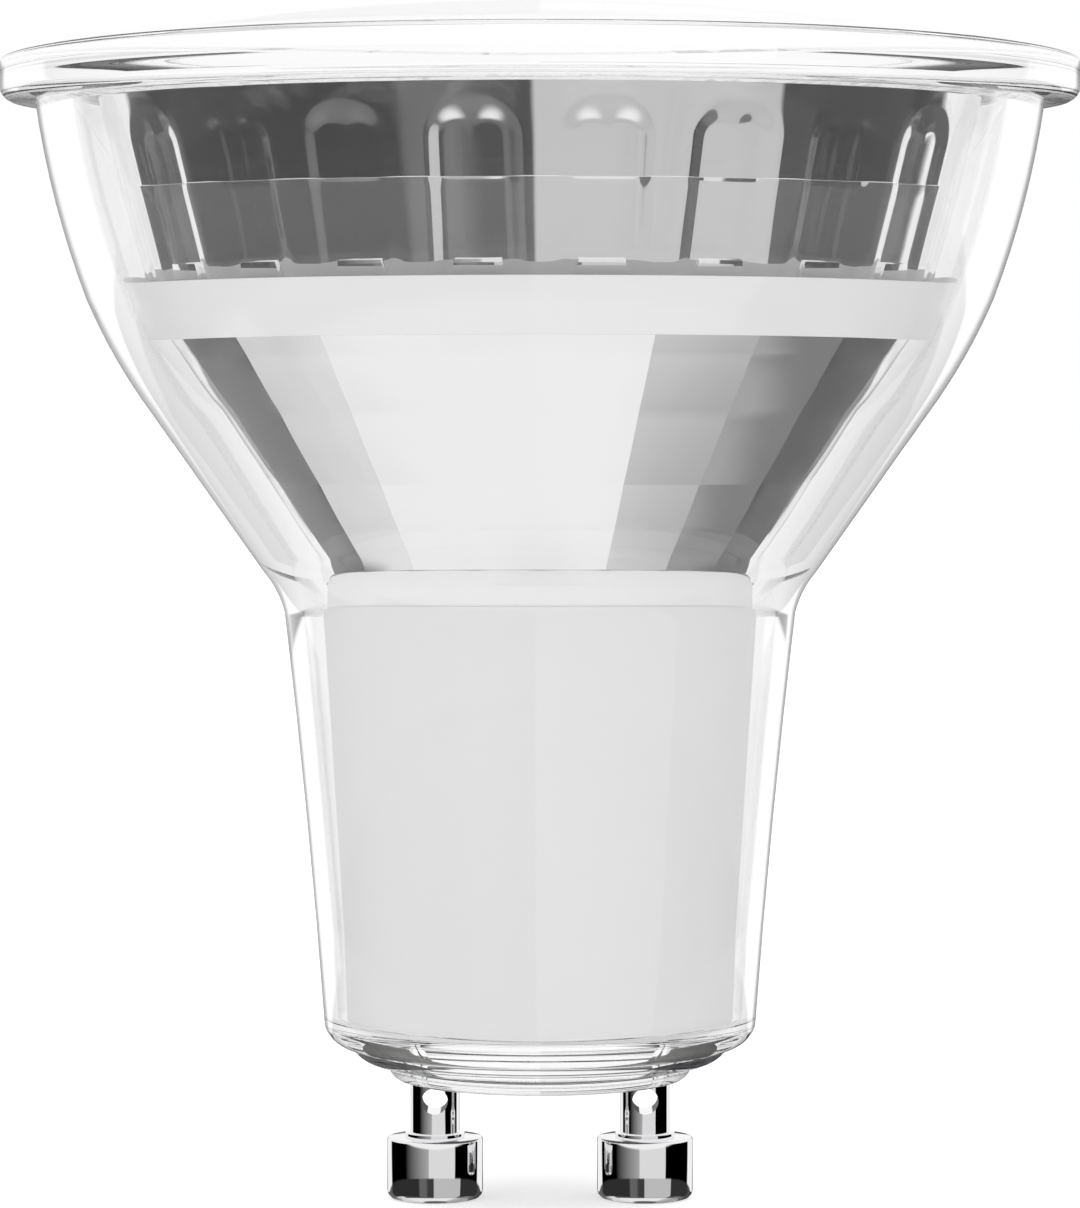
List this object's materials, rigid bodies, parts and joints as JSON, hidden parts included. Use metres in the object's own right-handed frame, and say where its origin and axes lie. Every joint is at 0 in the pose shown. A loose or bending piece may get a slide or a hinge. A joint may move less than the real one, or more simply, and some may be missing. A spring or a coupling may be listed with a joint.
{
  "type": "reflector spotlight lamp",
  "caption": "Clear glass reflector lamp with a domed lens in a thick rim, bright fluted and faceted reflectors, a white sleeve and two turn-and-lock contact pins.",
  "frame": {"origin": "centre of the glass base's underside, midway between the two contact pins", "axes": "+Z along the lamp's axis towards the lens; +X towards the right-hand contact pin"},
  "size_m": [0.0508, 0.0508, 0.0567],
  "materials": {
    "clear_glass": "clear, polished",
    "lens_glass": "clear, polished",
    "clear_adhesive": "clear, set",
    "bright_mirror": "bright metallised",
    "white_band": "smooth white",
    "white_plastic": "smooth white",
    "white_adhesive": "matt white",
    "bare_aluminium": "milled",
    "white_board": "white solder mask",
    "phosphor": "yellow phosphor in a white frame",
    "zinc_steel": "zinc plated",
    "green_board": "green solder mask",
    "black_can": "shrink sleeve",
    "film_case": "moulded yellow",
    "ferrite": "fired",
    "copper_wire": "enamelled copper",
    "black_epoxy": "moulded",
    "resistor_coat": "dipped coat",
    "red_wire": "insulated wire",
    "black_wire": "insulated wire",
    "bright_chrome": "bright plated"
  },
  "bodies": {
    "root": {"glass_body": "clear_glass", "front_lens": "lens_glass", "lens_seal": "clear_adhesive", "fluted_reflector": "bright_mirror", "carrier_ring": "white_band", "facet_reflector": "bright_mirror", "sleeve_collar": "white_plastic", "driver_sleeve": "white_plastic", "sleeve_adhesive": "white_adhesive", "heat_spreader": "bare_aluminium", "led_board": "white_board", "led_chips": "phosphor", "board_screws": "zinc_steel", "driver_board": "green_board", "electrolytic_capacitor": "black_can", "film_capacitor": "film_case", "choke_core": "ferrite", "choke_winding": "copper_wire", "bridge_rectifier": "black_epoxy", "driver_chip": "black_epoxy", "fuse_resistor": "resistor_coat", "live_lead": "red_wire", "neutral_lead": "black_wire", "led_plus_lead": "red_wire", "led_minus_lead": "black_wire", "contact_pin_right": "bright_chrome", "contact_pin_left": "bright_chrome", "pin_washers": "zinc_steel"}
  },
  "joints": []
}
